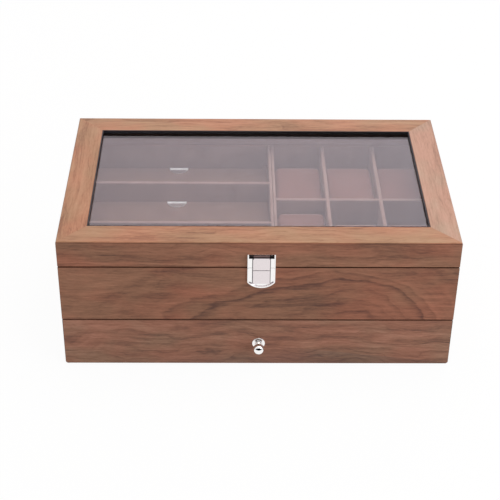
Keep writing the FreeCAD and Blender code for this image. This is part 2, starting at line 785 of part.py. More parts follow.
# Ball knob on a stepped rosette, held by a screw from inside
board_back = f"({front} + Sizes.wall)"
knob_low = f"({front} - Sizes.knob_out)"
rosette_front = f"({front} - Sizes.rosette - Sizes.boss)"
knob_z = f"(({front_low} + {front_high}) / 2 - Sizes.knob_drop)"
knob_axis = ("Sizes.knob_x", "0", knob_z)
ball = doc.addObject("Part::Sphere", "ball")
ball.setExpression("Radius", "Sizes.knob_radius")
for axis, expression in zip("xyz", ("Sizes.knob_x", knob_low, knob_z)):
    ball.setExpression("Placement.Base." + axis, expression)
knob_screw = join(
    "knob_screw_joined",
    rod("knob_shank", "y", knob_axis, "Sizes.knob_screw_radius",
        (f"{rosette_front} - Sizes.knob_screw_bite", board_back)),
    rod("knob_screw_head", "y", knob_axis, "Sizes.knob_screw_head",
        (board_back, f"{board_back} + Sizes.knob_screw_head_thickness")),
)
piece("knob_screw", knob_screw)
neck = rod("knob_neck", "y", knob_axis, "Sizes.knob_neck", (knob_low, rosette_front))
piece("drawer_knob", cut("knob_tapped", join("knob_turned", ball, neck), knob_screw))
rosette = join(
    "rosette_turned",
    rod("rosette_disc", "y", knob_axis, "Sizes.rosette_radius", (f"{front} - Sizes.rosette", front)),
    rod("rosette_boss", "y", knob_axis, "Sizes.boss_radius", (rosette_front, front)),
)
piece("knob_rosette", cut("rosette_bored", rosette, knob_screw))
piece("drawer_front", cut("drawer_front_bored", front_body, knob_screw))

# Drawer box behind the front
drawer_x = f"({inner_x} - Sizes.drawer_side_gap)"
drawer_inner_x = f"({drawer_x} - Sizes.drawer_board)"
drawer_end = f"({inner_y} - Sizes.drawer_back_gap)"
drawer_inner_end = f"({drawer_end} - Sizes.drawer_board)"
drawer_low = f"({bay_low} + Sizes.drawer_run_gap)"
drawer_high = f"({bay_top} - Sizes.drawer_head_gap)"
drawer_floor_low = f"({drawer_low} + Sizes.drawer_floor_lift)"
drawer_seat = f"({drawer_floor_low} + Sizes.drawer_floor)"
drawer_z = (drawer_low, drawer_high)
piece("drawer_side_left", block(
    "drawer_left", (f"-{drawer_x}", f"-{drawer_inner_x}"), (board_back, drawer_end), drawer_z
))
piece("drawer_side_right", block(
    "drawer_right", (drawer_inner_x, drawer_x), (board_back, drawer_end), drawer_z
))
piece("drawer_back", block(
    "drawer_rear", across(0, drawer_inner_x), (drawer_inner_end, drawer_end), drawer_z
))
piece("drawer_bottom", block(
    "drawer_panel",
    across(0, drawer_inner_x),
    (board_back, drawer_inner_end),
    (drawer_floor_low, drawer_seat),
))
lining_seat = f"({drawer_seat} + Sizes.lining)"
lining_z = (lining_seat, f"{drawer_high} - Sizes.drawer_lining_drop")
lined_drawer_x = f"({drawer_inner_x} - Sizes.lining)"
lined_front = f"({board_back} + Sizes.lining)"
lined_end = f"({drawer_inner_end} - Sizes.lining)"
screw_room = rod(
    "knob_head_room", "y", knob_axis, "Sizes.knob_screw_head + Sizes.seat_gap",
    (f"{board_back} - Sizes.overcut", f"{lined_front} + Sizes.overcut"),
)
front_velvet = cut("drawer_velvet_front_cut", block(
    "drawer_velvet_front", across(0, drawer_inner_x), (board_back, lined_front), lining_z
), screw_room)
side_velvet_y = (lined_front, lined_end)
piece("drawer_lining", group(
    "drawer_lining_group",
    block("drawer_velvet_floor", across(0, drawer_inner_x), (board_back, drawer_inner_end),
          (drawer_seat, lining_seat)),
    front_velvet,
    block("drawer_velvet_back", across(0, drawer_inner_x), (lined_end, drawer_inner_end), lining_z),
    block("drawer_velvet_left", (f"-{drawer_inner_x}", f"-{lined_drawer_x}"), side_velvet_y, lining_z),
    block("drawer_velvet_right", (lined_drawer_x, drawer_inner_x), side_velvet_y, lining_z),
))

doc.recompute()
for feature in doc.Objects:
    if any(state in ("Invalid", "Error") for state in feature.State):
        raise RuntimeError(f"{feature.Label} did not build: {feature.State}")
os.makedirs("parts", exist_ok=True)
for label, shape in pieces.items():
    if shape.Shape.isNull() or not shape.Shape.isValid() or not shape.Shape.Solids:
        raise RuntimeError(f"{label} has no valid solid")
for label, shape in pieces.items():
    shape.Shape.exportStep(f"parts/{label}.step")
print(len(pieces), "pieces")
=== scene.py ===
import json
import math

import bmesh
import bpy
from mathutils import Matrix, Vector
from mathutils.bvhtree import BVHTree

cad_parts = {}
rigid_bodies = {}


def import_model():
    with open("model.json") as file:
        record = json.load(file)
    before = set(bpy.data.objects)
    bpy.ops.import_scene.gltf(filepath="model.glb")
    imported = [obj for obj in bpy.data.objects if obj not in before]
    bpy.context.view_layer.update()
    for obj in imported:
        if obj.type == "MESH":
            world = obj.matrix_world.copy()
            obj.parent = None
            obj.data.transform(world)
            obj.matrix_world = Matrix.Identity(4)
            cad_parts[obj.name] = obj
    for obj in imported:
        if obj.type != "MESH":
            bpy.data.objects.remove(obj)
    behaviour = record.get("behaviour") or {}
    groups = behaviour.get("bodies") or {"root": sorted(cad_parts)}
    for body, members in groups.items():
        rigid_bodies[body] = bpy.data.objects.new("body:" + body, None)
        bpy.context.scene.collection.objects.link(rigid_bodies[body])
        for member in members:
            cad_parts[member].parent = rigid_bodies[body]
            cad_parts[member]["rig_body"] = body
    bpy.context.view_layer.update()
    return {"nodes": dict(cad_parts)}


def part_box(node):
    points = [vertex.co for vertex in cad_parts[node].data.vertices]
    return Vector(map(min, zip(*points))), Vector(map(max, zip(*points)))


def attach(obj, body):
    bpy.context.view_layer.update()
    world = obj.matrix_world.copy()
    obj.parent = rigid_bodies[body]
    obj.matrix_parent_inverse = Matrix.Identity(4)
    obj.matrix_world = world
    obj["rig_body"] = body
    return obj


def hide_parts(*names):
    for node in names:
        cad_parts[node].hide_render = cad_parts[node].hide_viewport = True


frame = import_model()


# Studio. The box stands on a white sweep. A lit scrim behind it also shows in the glass of the lid, a soft light hangs
# over it and another stands on the right in front. Behind the camera the room is dark, which only polished metal shows.
FOCAL_PIXELS = 1284.3
PICTURE_PIXELS = 500
SENSOR = 36

camera = bpy.data.objects.new("camera", bpy.data.cameras.new("camera"))
bpy.context.scene.collection.objects.link(camera)
bpy.context.scene.camera = camera
camera.data.sensor_width = SENSOR
camera.data.lens = FOCAL_PIXELS / PICTURE_PIXELS * SENSOR
camera.data.clip_start = 0.01
camera.matrix_world = (
    Matrix.Translation((-0.0256, -0.9874, 0.7372))
    @ Matrix.Rotation(math.radians(-1.151), 4, "Z")
    @ Matrix.Rotation(math.radians(90 - 34.827), 4, "X")
    @ Matrix.Rotation(math.radians(0.838), 4, "Z")
)
bpy.context.scene.view_settings.view_transform = "Standard"


def colour(code):
    """A colour written as sRGB hex, as the linear colour that shaders take."""
    parts = [int(code[i : i + 2], 16) / 255 for i in (1, 3, 5)]
    return (*(c / 12.92 if c <= 0.04045 else ((c + 0.055) / 1.055) ** 2.4 for c in parts), 1)


def add(tree, kind, inputs=None, out=0, stops=None, **settings):
    """Adds a node with its settings, its inputs as values or links, and its colour stops, and gives one output."""
    node = tree.nodes.new(kind)
    for name, setting in settings.items():
        setattr(node, name, setting)
    for place, source in (inputs or {}).items():
        if isinstance(source, bpy.types.NodeSocket):
            tree.links.new(source, node.inputs[place])
        else:
            node.inputs[place].default_value = source
    if stops:
        elements = node.color_ramp.elements
        while len(elements) < len(stops):
            elements.new(1)
        for element, (position, code) in zip(elements, stops):
            element.position = position
            element.color = colour(code)
    return node.outputs[out] if node.outputs else node


def empty_tree(owner):
    """The node tree of a new material or world, with nothing in it."""
    owner.use_nodes = True
    owner.node_tree.nodes.clear()
    return owner.node_tree


def seen_directly(tree):
    """1 for the rays that show the surroundings: to the eye, in gloss and through glass."""
    total = 0.0
    for ray in ("Is Camera Ray", "Is Glossy Ray", "Is Transmission Ray"):
        sight = add(tree, "ShaderNodeLightPath", out=ray)
        total = add(tree, "ShaderNodeMath", {0: sight, 1: total}, operation="MAXIMUM")
    return total


AMBIENT = 0.43
sky = bpy.context.scene.world = bpy.data.worlds.new("white_surround")
tree = empty_tree(sky)
level = add(
    tree, "ShaderNodeMath", {0: seen_directly(tree), 1: 1 - AMBIENT, 2: AMBIENT}, operation="MULTIPLY_ADD"
)
light = add(tree, "ShaderNodeBackground", {"Color": colour("#FFFFFF"), "Strength": level})
add(tree, "ShaderNodeOutputWorld", {"Surface": light})


def card(name, corners, finish, faces=((0, 1, 2, 3),)):
    """A sheet of the studio, flat or of several faces, with one finish."""
    sheet = bpy.data.meshes.new(name)
    sheet.from_pydata(corners, [], faces)
    sheet.materials.append(finish)
    holder = bpy.data.objects.new(name, sheet)
    bpy.context.scene.collection.objects.link(holder)
    return holder


# White paper: to the eye nearly all its own white, so that only a faint shadow of the box shows on it
white_paper = bpy.data.materials.new("white_paper")
tree = empty_tree(white_paper)
sight = seen_directly(tree)
tone = add(
    tree, "ShaderNodeMix", {"Factor": sight, 6: colour("#B4B4B4"), 7: colour("#FFFFFF")}, out=2, data_type="RGBA"
)
matt = add(tree, "ShaderNodeBsdfPrincipled", {"Base Color": tone, "Roughness": 0.9, "Specular IOR Level": 0.0})
glow = add(tree, "ShaderNodeEmission", {"Color": colour("#FFFFFF"), "Strength": 1.0})
share = add(tree, "ShaderNodeMath", {0: sight, 1: 0.95}, operation="MULTIPLY")
surface = add(tree, "ShaderNodeMixShader", {0: share, 1: matt, 2: glow})
add(tree, "ShaderNodeOutputMaterial", {"Surface": surface})
SWEEP = 4.0
card("sweep", [(-SWEEP, -SWEEP, 0), (SWEEP, -SWEEP, 0), (SWEEP, SWEEP, 0), (-SWEEP, SWEEP, 0)], white_paper)

# The scrim behind the box is brighter on the right
scrim_cloth = bpy.data.materials.new("lit_scrim")
tree = empty_tree(scrim_cloth)
SCRIM_X, SCRIM_HALF, SCRIM_Y, SCRIM_LOW, SCRIM_HIGH = 0.05, 0.75, 1.25, 0.45, 1.4
place = add(tree, "ShaderNodeTexCoord", out="Object")
across = add(tree, "ShaderNodeSeparateXYZ", {0: place}, out="X")
level = add(
    tree, "ShaderNodeMapRange",
    {"Value": across, "From Min": -0.45, "From Max": 0.45, "To Min": 1.35, "To Max": 1.75},
)
surface = add(tree, "ShaderNodeEmission", {"Color": colour("#FFF1FA"), "Strength": level})
add(tree, "ShaderNodeOutputMaterial", {"Surface": surface})
left, right = SCRIM_X - SCRIM_HALF, SCRIM_X + SCRIM_HALF
scrim = card(
    "back_scrim",
    [(x, SCRIM_Y, z) for x, z in ((left, SCRIM_LOW), (right, SCRIM_LOW), (right, SCRIM_HIGH), (left, SCRIM_HIGH))],
    scrim_cloth,
)
scrim.visible_camera = False

# The dark room behind the camera, as a bent card that no other surface than a glossy one shows
dark_cloth = bpy.data.materials.new("dark_room")
tree = empty_tree(dark_cloth)
surface = add(tree, "ShaderNodeBsdfDiffuse", {"Color": colour("#1C1A1B")})
add(tree, "ShaderNodeOutputMaterial", {"Surface": surface})
ROOM_RADIUS, ROOM_TURN, ROOM_LOW, ROOM_HIGH, ROOM_FACES = 1.6, 75, 0.12, 1.7, 15
corners = []
for i in range(ROOM_FACES + 1):
    part = 2 * i / ROOM_FACES - 1
    turn = math.radians(ROOM_TURN * part)
    x, y = ROOM_RADIUS * math.sin(turn), -ROOM_RADIUS * math.cos(turn)
    corners += [(x, y, ROOM_LOW), (x, y, ROOM_HIGH - (ROOM_HIGH - ROOM_LOW) * part * part)]
faces = [(2 * i, 2 * i + 2, 2 * i + 3, 2 * i + 1) for i in range(ROOM_FACES)]
room = card("dark_room", corners, dark_cloth, faces)
room.visible_camera = room.visible_diffuse = room.visible_transmission = room.visible_shadow = False


def softbox(name, place, aim, width, height, power, tint):
    """A rectangular soft light at a place, turned towards a point."""
    lamp = bpy.data.lights.new(name, "AREA")
    lamp.shape = "RECTANGLE"
    lamp.size, lamp.size_y = width, height
    lamp.energy = power
    lamp.color = colour(tint)[:3]
    holder = bpy.data.objects.new(name, lamp)
    bpy.context.scene.collection.objects.link(holder)
    holder.location = place
    holder.rotation_euler = (Vector(aim) - Vector(place)).to_track_quat("-Z", "Y").to_euler()
    holder.visible_camera = False


softbox("top_softbox", (0.25, 0.15, 1.8), (0, 0, 0.1), 1.5, 1.5, 16, "#FFF6EE")
softbox("side_softbox", (1.9, -1.5, 1.05), (0, 0, 0.08), 1.6, 1.4, 29, "#ECF0FF")


# Case. Four boards of walnut-veneered fibreboard, mitred at the corners, stand round the tray and the drawer bay.
# The front board is one sheet cut near the heart of the log, with arched figure; the others have plain long grain.
BOARD_EASE = 0.0006
FOLD = math.radians(30)
FOOT_HEIGHT, FOOT_SHARE = 0.002, 0.25
SAME_PLACE = 1e-6


def finished(node, word, ease, finish, segments=2, rim=None, along=None):
    """A copy of a CAD node with whole faces and eased edges, which takes the node's place. finish is one material,
    or a dictionary from a direction of the face, such as "+z", to a material, with "" for the rest. rim is what the
    eased edges show, and along the one axis that they follow, where only some are eased. Mitres stay tight, edges
    that are already round stay as they are, and edges that stand near the table are eased less. Where rim is given
    for all edges, the ease keeps its full width past short edges."""
    source = frame["nodes"][node]
    mesh = bpy.data.meshes.new(f"{node}_{word}")
    work = bmesh.new()
    work.from_mesh(source.data)
    bmesh.ops.remove_doubles(work, verts=work.verts, dist=SAME_PLACE)
    bmesh.ops.dissolve_limit(work, angle_limit=math.radians(0.5), verts=work.verts, edges=work.edges)
    finishes = finish if isinstance(finish, dict) else {"": finish}
    order = list(finishes)
    for face in work.faces:
        face.smooth = True
        axis = max(range(3), key=lambda i: abs(face.normal[i]))
        side = "-+"[face.normal[axis] > 0] + "xyz"[axis]
        face.material_index = order.index(side if side in finishes else "")
        # Painted shade: the last of a rounded edge, just above the wall, takes the rim material as the eased edges do,
        # a dark line
        if rim and "+z" in finishes and 0.02 < face.normal.z < 0.3:
            face.material_index = len(order)
    eased = work.edges.layers.float.new("bevel_weight_edge")
    for edge in work.edges:
        if len(edge.link_faces) == 2 and edge.calc_face_angle() > FOLD:
            sides = [face.normal for face in edge.link_faces]
            mitred = any(abs(abs(side.x) - abs(side.y)) < 0.1 > abs(side.z) for side in sides)
            rounded = any(0.05 < abs(side.z) < 0.95 for side in sides)
            run = edge.verts[1].co - edge.verts[0].co
            follows = along is None or abs(run["xyz".index(along)]) > 0.9 * run.length
            if follows and run.length > ease and not rounded and not mitred:
                edge[eased] = FOOT_SHARE if max(v.co.z for v in edge.verts) < FOOT_HEIGHT else 1.0
            edge.smooth = edge[eased] > 0
    work.to_mesh(mesh)
    work.free()
    for material in (*finishes.values(), *([rim] if rim else [])):
        mesh.materials.append(material)
    piece = bpy.data.objects.new(f"{node}_{word}", mesh)
    bpy.context.scene.collection.objects.link(piece)
    if ease:
        bevel = piece.modifiers.new("ease", "BEVEL")
        bevel.width = ease
        bevel.segments = segments
        bevel.limit_method = "WEIGHT"
        bevel.use_clamp_overlap = not rim or along is not None
        bevel.miter_outer = "MITER_ARC"
        if rim:
            bevel.material = len(order)
    normals = piece.modifiers.new("flats", "WEIGHTED_NORMAL")
    normals.keep_sharp = True
    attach(piece, source["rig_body"])
    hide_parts(node)
    return piece


SWAY = 0.007
MARK_RISE, MARK_END = 0.0038, 0.0012
FIBRES = ((0.09, 0.03, 0.5), (0.09, 0.0035, 0.3), (0.035, 0.0018, 0.32), (0.011, 0.0011, 0.32), (0.004, 0.0007, 0.25))
PORE_LENGTH, PORE_WIDTH, PORE_WEIGHT = 0.006, 0.00045, 0.06
CONTRAST = 0.25


def streaks(tree, log, length, width, seed=0.0, detail=1.0):
    """Uneven streaks of about one length and width along the grain, from 0 to 1, around a half."""
    run = add(tree, "ShaderNodeVectorMath", {0: log, 1: (1 / length, 1 / width, 1 / width)}, operation="MULTIPLY")
    return add(
        tree, "ShaderNodeTexNoise", {"Vector": run, "W": seed, "Scale": 1.0, "Detail": detail},
        noise_dimensions="4D",
    )


def walnut(name, along, shades, ring, pith, lean=0.0, drift=2.5, arch=None, marks=None, figure=1.0, seed=0.0):
    """Sliced walnut veneer under satin lacquer: brown, with darker lines where the knife crossed the years' rings,
    fine fibre streaks, short open pores and a soft shine. along is the axis of the grain, shades the pale, the
    middle and the deep brown, ring the width of a year's ring, pith the heart of the log, lean its turn to the
    board and drift how many rings the growth wanders. Where the heart runs out of the board, arch gives how much
    longer than high the arches are at one place along the grain and at another, and marks their dark lines, each
    as its distance from the heart and its strength."""
    wood = bpy.data.materials.new(name)
    tree = empty_tree(wood)
    place = add(tree, "ShaderNodeTexCoord", out="Object")
    quarter = math.radians(90) if along == "y" else 0
    log = add(
        tree, "ShaderNodeMapping", {"Vector": place, "Location": pith, "Rotation": (0, lean, quarter)},
        vector_type="TEXTURE",
    )
    # The grain sways by a few millimetres, at most SWAY, on its way along the board
    sway = add(
        tree, "ShaderNodeVectorMath", {0: log, 1: (1 / 0.09, 1 / 0.04, 1 / 0.04)}, operation="MULTIPLY"
    )
    sway = add(
        tree, "ShaderNodeTexNoise", {"Vector": sway, "W": seed + 3, "Scale": 1.0, "Detail": 1.0}, out="Color",
        noise_dimensions="4D",
    )
    sway = add(tree, "ShaderNodeVectorMath", {0: sway, 1: (0, 2 * SWAY, 2 * SWAY), 2: log}, operation="MULTIPLY_ADD")
    log = add(tree, "ShaderNodeVectorMath", {0: sway, 1: (0, -SWAY, -SWAY)}, operation="ADD")
    run = add(tree, "ShaderNodeSeparateXYZ", {0: log}, out="X")
    squeeze = 0.0
    if arch:
        (start, at_start), (end, at_end) = arch
        squeeze = add(
            tree, "ShaderNodeMapRange",
            {"Value": run, "From Min": start, "From Max": end, "To Min": 1 / at_start, "To Max": 1 / at_end},
            interpolation_type="SMOOTHSTEP",
        )
    shape = add(tree, "ShaderNodeCombineXYZ", {"X": squeeze, "Y": 1.0, "Z": 1.0})
    across = add(tree, "ShaderNodeVectorMath", {0: log, 1: shape}, operation="MULTIPLY")
    heart = add(tree, "ShaderNodeVectorMath", {0: across}, out="Value", operation="LENGTH")
    for length, width, reach in ((0.06, 0.028, ring * drift), (0.016, 0.007, 0.0032)):
        wander = add(
            tree, "ShaderNodeMath", {0: streaks(tree, log, length, width, seed + length, 2.0), 1: 0.5},
            operation="SUBTRACT",
        )
        heart = add(tree, "ShaderNodeMath", {0: wander, 1: 2 * reach, 2: heart}, operation="MULTIPLY_ADD")

    # Rings: soft uneven bands, and dark late wood that comes up slowly, ends at once and shows only in places
    years = add(tree, "ShaderNodeMath", {0: heart, 1: 1 / ring}, operation="MULTIPLY")
    bands = add(tree, "ShaderNodeTexNoise", {"W": years, "Scale": 0.9, "Detail": 2.0}, noise_dimensions="1D")
    if marks:
        reach = max(radius for radius, strength in marks) + 0.002
        stops = [(0.0, "#000000")]
        for radius, strength in marks:
            grey = "#" + 3 * f"{round(255 * strength):02X}"
            stops += [((radius - MARK_RISE) / reach, "#000000"), (radius / reach, grey)]
            stops += [((radius + MARK_END) / reach, "#000000")]
        from_heart = add(tree, "ShaderNodeMath", {0: heart, 1: 1 / reach}, operation="MULTIPLY")
        late = add(tree, "ShaderNodeValToRGB", {"Fac": from_heart}, stops=stops)
    else:
        season = add(tree, "ShaderNodeMath", {0: years}, operation="FRACT")
        late = add(
            tree, "ShaderNodeValToRGB", {"Fac": season},
            stops=((0.0, "#000000"), (0.5, "#1E1E1E"), (0.8, "#8C8C8C"), (0.9, "#FFFFFF"), (1.0, "#000000")),
        )
    hidden, plain, strength = (0.24, 0.46, 0.28) if marks else (0.38, 0.62, 0.16)
    shown = add(
        tree, "ShaderNodeMapRange",
        {"Value": streaks(tree, log, 0.03, 0.012, seed + 5), "From Min": hidden, "From Max": plain},
    )
    lines = add(tree, "ShaderNodeMath", {0: late, 1: shown}, operation="MULTIPLY")
    shade = add(tree, "ShaderNodeMath", {0: lines, 1: strength * figure}, operation="MULTIPLY")
    shade = add(tree, "ShaderNodeMath", {0: bands, 1: 0.35 * figure, 2: shade}, operation="MULTIPLY_ADD")

    # Clouds, bundles of fibre from wide to fine, and pores, which are really 0.2 mm wide and drawn at 0.45 mm
    weights = 0.35 * figure
    for length, width, weight in FIBRES:
        grain = streaks(tree, log, length, width, seed + width * 100)
        shade = add(tree, "ShaderNodeMath", {0: grain, 1: weight, 2: shade}, operation="MULTIPLY_ADD")
        weights += weight
    pores = add(
        tree, "ShaderNodeMapRange",
        {"Value": streaks(tree, log, PORE_LENGTH, PORE_WIDTH, seed), "From Min": 0.6, "From Max": 0.72},
    )
    shade = add(tree, "ShaderNodeMath", {0: pores, 1: PORE_WEIGHT, 2: shade}, operation="MULTIPLY_ADD")
    middle = (weights + PORE_WEIGHT) / 2
    depth = add(
        tree, "ShaderNodeMapRange", {"Value": shade, "From Min": middle - CONTRAST, "From Max": middle + CONTRAST}
    )
    pale, body, deep = shades
    stain = add(tree, "ShaderNodeValToRGB", {"Fac": depth}, stops=((0.0, pale), (0.5, body), (1.0, deep)))
    warmth = add(
        tree, "ShaderNodeMapRange",
        {"Value": streaks(tree, log, 0.06, 0.03, seed + 8, 2.0), "From Min": 0.4, "From Max": 0.6},
    )
    warmth = add(
        tree, "ShaderNodeMix", {"Factor": warmth, 6: colour("#F3F7EF"), 7: colour("#FFEFE8")}, out=2, data_type="RGBA"
    )
    stain = add(
        tree, "ShaderNodeMix", {"Factor": 1.0, 6: stain, 7: warmth}, out=2, data_type="RGBA", blend_type="MULTIPLY"
    )
    dull = add(tree, "ShaderNodeMapRange", {"Value": depth, "To Min": 0.36, "To Max": 0.5})
    relief = add(tree, "ShaderNodeMath", {0: pores, 1: -0.6, 2: grain}, operation="MULTIPLY_ADD")
    bump = add(tree, "ShaderNodeBump", {"Height": relief, "Strength": 0.25, "Distance": 0.0002})
    surface = add(
        tree, "ShaderNodeBsdfPrincipled",
        {"Base Color": stain, "Roughness": dull, "Normal": bump, "Specular IOR Level": 0.3},
    )
    add(tree, "ShaderNodeOutputMaterial", {"Surface": surface})
    return wood


FRONT_SHADES = "#B88066", "#9C6C55", "#6C483D"
figured_front = walnut(
    "walnut_veneer_figured", "x", FRONT_SHADES, 0.009, (0.086, -0.1, 0.046), drift=0.9,
    arch=((-0.10, 3.0), (0.03, 1.25)),
    marks=((0.017, 0.7), (0.027, 0.62), (0.0365, 0.88), (0.0465, 0.95), (0.0535, 0.75)),
)
# Painted shade: where two boards meet, their eased edges are painted dark, standing in for the shade in the seams.
painted_seam_shade = walnut("painted_seam_shade", "x", ("#6A4230", "#583422", "#462818"), 0.006, (0, -0.2, 0.0), seed=10.0)
plain_side = walnut("walnut_veneer_side", "y", FRONT_SHADES, 0.006, (0.19, 0, -0.02), seed=2.0)
plain_back = walnut("walnut_veneer_back", "x", FRONT_SHADES, 0.007, (0, 0.13, 0.0), seed=3.0)
for node, veneer in {
    "case_front": figured_front,
    "case_back": plain_back,
    "case_side_left": plain_side,
    "case_side_right": plain_side,
}.items():
    # Painted shade: the tops of the case walls, under the lid, take the dark seam colour too
    sheets = {"": veneer, "+z": painted_seam_shade}
    finished(node, "veneered", BOARD_EASE, sheets, rim=painted_seam_shade)


# Lid frame. Four walnut-veneered rails, mitred, with a rounded outer edge. The sheets on top are the same walnut as the
# walls, painted paler as painted light from above, and their grain runs along each rail.
LID_EASE = 0.0005
TOP_PAINTED_LIGHT_SHADES = "#C09474", "#B08263", "#8C624A"
lid_front = walnut("walnut_veneer_lid_front", "x", FRONT_SHADES, 0.0045, (0, -0.09, -0.02), seed=4.0)
top_long = walnut("walnut_veneer_top_long", "x", TOP_PAINTED_LIGHT_SHADES, 0.007, (0, 0.3, 0.10), seed=5.0)
top_left = walnut("walnut_veneer_top_left", "y", TOP_PAINTED_LIGHT_SHADES, 0.007, (0.4, 0, 0.10), figure=0.6, seed=6.0)
# Painted light: the right rail's top is painted paler and pinker still, for the brighter light from the right
RIGHT_PAINTED_LIGHT_SHADES = "#C9A794", "#BA9884", "#987A69"
top_right = walnut("walnut_veneer_top_right", "y", RIGHT_PAINTED_LIGHT_SHADES, 0.007, (0.4, 0, 0.10), figure=0.5, seed=6.5)
for side in ("front", "back", "left", "right"):
    long_rail = side in ("front", "back")
    top = {"left": top_left, "right": top_right}.get(side, top_long)
    sheets = {"": lid_front if long_rail else plain_side, "+z": top}
    # Painted shade: the eased edges take the dark seam colour
    finished(f"lid_rail_{side}", "veneered", LID_EASE, sheets, rim=painted_seam_shade)


# Window. A pane of 3 mm float glass lies in the rabbet of the lid frame, under a black painted trim that hides its
# edge, and stained beech beads hold it from below. The pane shows the white surround as a pale veil.
# Float glass is clear with a green-grey breath. For lamps and for soft light it is a plain filter, so that what lies
# below stays free of noise.
GLASS_EASE, TRIM_EASE, BEAD_EASE = 0.0004, 0.0001, 0.0006
clear_glass = bpy.data.materials.new("float_glass")
tree = empty_tree(clear_glass)
body = add(
    tree, "ShaderNodeBsdfPrincipled",
    {"Base Color": colour("#F7FAFB"), "Roughness": 0.0, "Transmission Weight": 1.0, "IOR": 1.52},
)
lamp_ray = add(tree, "ShaderNodeLightPath", out="Is Shadow Ray")
soft_ray = add(tree, "ShaderNodeLightPath", out="Is Diffuse Ray")
lamp_ray = add(tree, "ShaderNodeMath", {0: lamp_ray, 1: soft_ray}, operation="MAXIMUM")
passing = add(tree, "ShaderNodeBsdfTransparent", {"Color": colour("#EDF0F0")})
surface = add(tree, "ShaderNodeMixShader", {0: lamp_ray, 1: body, 2: passing})
add(tree, "ShaderNodeOutputMaterial", {"Surface": surface})
finished("glass_pane", "ground", GLASS_EASE, clear_glass)

# Satin black paint, laid on with a brush: nearly black, with a broken sheen
black_paint = bpy.data.materials.new("satin_black_paint")
tree = empty_tree(black_paint)
place = add(tree, "ShaderNodeTexCoord", out="Object")
brushed = add(tree, "ShaderNodeTexNoise", {"Vector": place, "Scale": 900.0, "Detail": 2.0})
rough = add(tree, "ShaderNodeMapRange", {"Value": brushed, "To Min": 0.35, "To Max": 0.55})
bump = add(tree, "ShaderNodeBump", {"Height": brushed, "Strength": 0.2, "Distance": 0.0001})
surface = add(tree, "ShaderNodeBsdfPrincipled", {"Base Color": colour("#262227"), "Roughness": rough, "Normal": bump})
add(tree, "ShaderNodeOutputMaterial", {"Surface": surface})
finished("glass_trim", "painted", TRIM_EASE, black_paint, segments=1)

# Beech, planed and stained dark: its close grain hardly shows
BEECH_SHADES = "#3A2A22", "#2B1F19", "#1E1612"
stained_beech = walnut("stained_beech", "x", BEECH_SHADES, 0.003, (0, 0.0, 0.2), figure=0.4, seed=7.0)
finished("glass_beads", "stained", BEAD_EASE, stained_beech)


# Tray. Floor, walls and dividers are covered with brown velvet; the dividers are thin boards wrapped in it, the row
# and column dividers half-lapped where they cross.
PATCH, TUFT, TUFT_WEIGHT = 0.014, 0.0006, 0.04


def velvet(name, face, pile, nap=0.5, sheen=0.3):
    """Short cotton velvet: dark when looked into, paler where its pile leans or turns away from the eye."""
    cloth = bpy.data.materials.new(name)
    tree = empty_tree(cloth)
    place = add(tree, "ShaderNodeTexCoord", out="Object")
    # The pile is brushed into patches 14 mm across, and its tufts, really 0.15 mm, are drawn at 0.6 mm.
    patches = add(tree, "ShaderNodeTexNoise", {"Vector": place, "Scale": 1 / PATCH, "Detail": 2.0, "Roughness": 0.5})
    tufts = add(tree, "ShaderNodeTexNoise", {"Vector": place, "Scale": 1 / TUFT, "Detail": 1.0})
    lean = add(tree, "ShaderNodeMath", {0: tufts, 1: TUFT_WEIGHT}, operation="MULTIPLY")
    lean = add(tree, "ShaderNodeMath", {0: patches, 1: nap, 2: lean}, operation="MULTIPLY_ADD")
    middle = (nap + TUFT_WEIGHT) / 2
    share = add(tree, "ShaderNodeMapRange", {"Value": lean, "From Min": middle - 0.2, "From Max": middle + 0.2})
    tone = add(tree, "ShaderNodeMix", {"Factor": share, 6: colour(face), 7: colour(pile)}, out=2, data_type="RGBA")
    bump = add(tree, "ShaderNodeBump", {"Height": tufts, "Strength": 0.03, "Distance": 0.0002})
    surface = add(
        tree, "ShaderNodeBsdfPrincipled",
        {
            "Base Color": tone, "Roughness": 0.95, "Specular IOR Level": 0.1, "Normal": bump,
            "Sheen Weight": sheen, "Sheen Roughness": 0.4, "Sheen Tint": colour("#E0B8A8"),
        },
    )
    add(tree, "ShaderNodeOutputMaterial", {"Surface": surface})
    return cloth


def lined(node, cloth):
    """Gives a CAD node that keeps its shape its cloth."""
    slots = frame["nodes"][node].data.materials
    slots.clear()
    slots.append(cloth)


brown_velvet = velvet("brown_velvet", "#735549", "#906F62")
# Painted sheen: over an edge and on top the velvet is painted paler, for the light its pile catches there. The pile
# stands off the board by PILE, or less where two boards meet.
painted_sheen_velvet = velvet("brown_velvet_painted_sheen", "#9A786F", "#B5938A")
PILE, MEETING_SHARE = 0.0005, 0.4
for node in ("tray_lining", "lid_lining"):
    lined(node, brown_velvet)
WRAP_EASE = 0.0008
for node in (
    "centre_divider_left", "centre_divider_right", "tray_divider_front", "tray_divider_rear",
    "row_divider", "column_divider_1", "column_divider_2",
):
    # Painted sheen: the divider tops and eased edges take the paler velvet
    sides = {"": brown_velvet, "+z": painted_sheen_velvet}
    divider = finished(node, "wrapped", WRAP_EASE, sides, segments=3, rim=painted_sheen_velvet)
    low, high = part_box(node)
    thin = 0 if high.x - low.x < high.y - low.y else 1
    pile = PILE * (MEETING_SHARE if "centre" in node else 1.0)
    for vertex in divider.data.vertices:
        vertex.co[thin] += math.copysign(pile, vertex.co[thin] - (low[thin] + high[thin]) / 2)


# Floors. The tray stands on a sheet of birch plywood, and another closes the case below, under the drawer. Birch is
# pale and even, with faint wide figure from the peeling knife.
SHEET_EASE = 0.0003
PLYWOOD_SHADES = "#E2C9A0", "#CFB084", "#B18F62"
plywood = walnut("birch_plywood", "x", PLYWOOD_SHADES, 0.009, (0.05, -0.3, 0.0), figure=0.7, seed=8.0)
for node in ("base_board", "tray_floor"):
    finished(node, "cut", SHEET_EASE, plywood, segments=1)


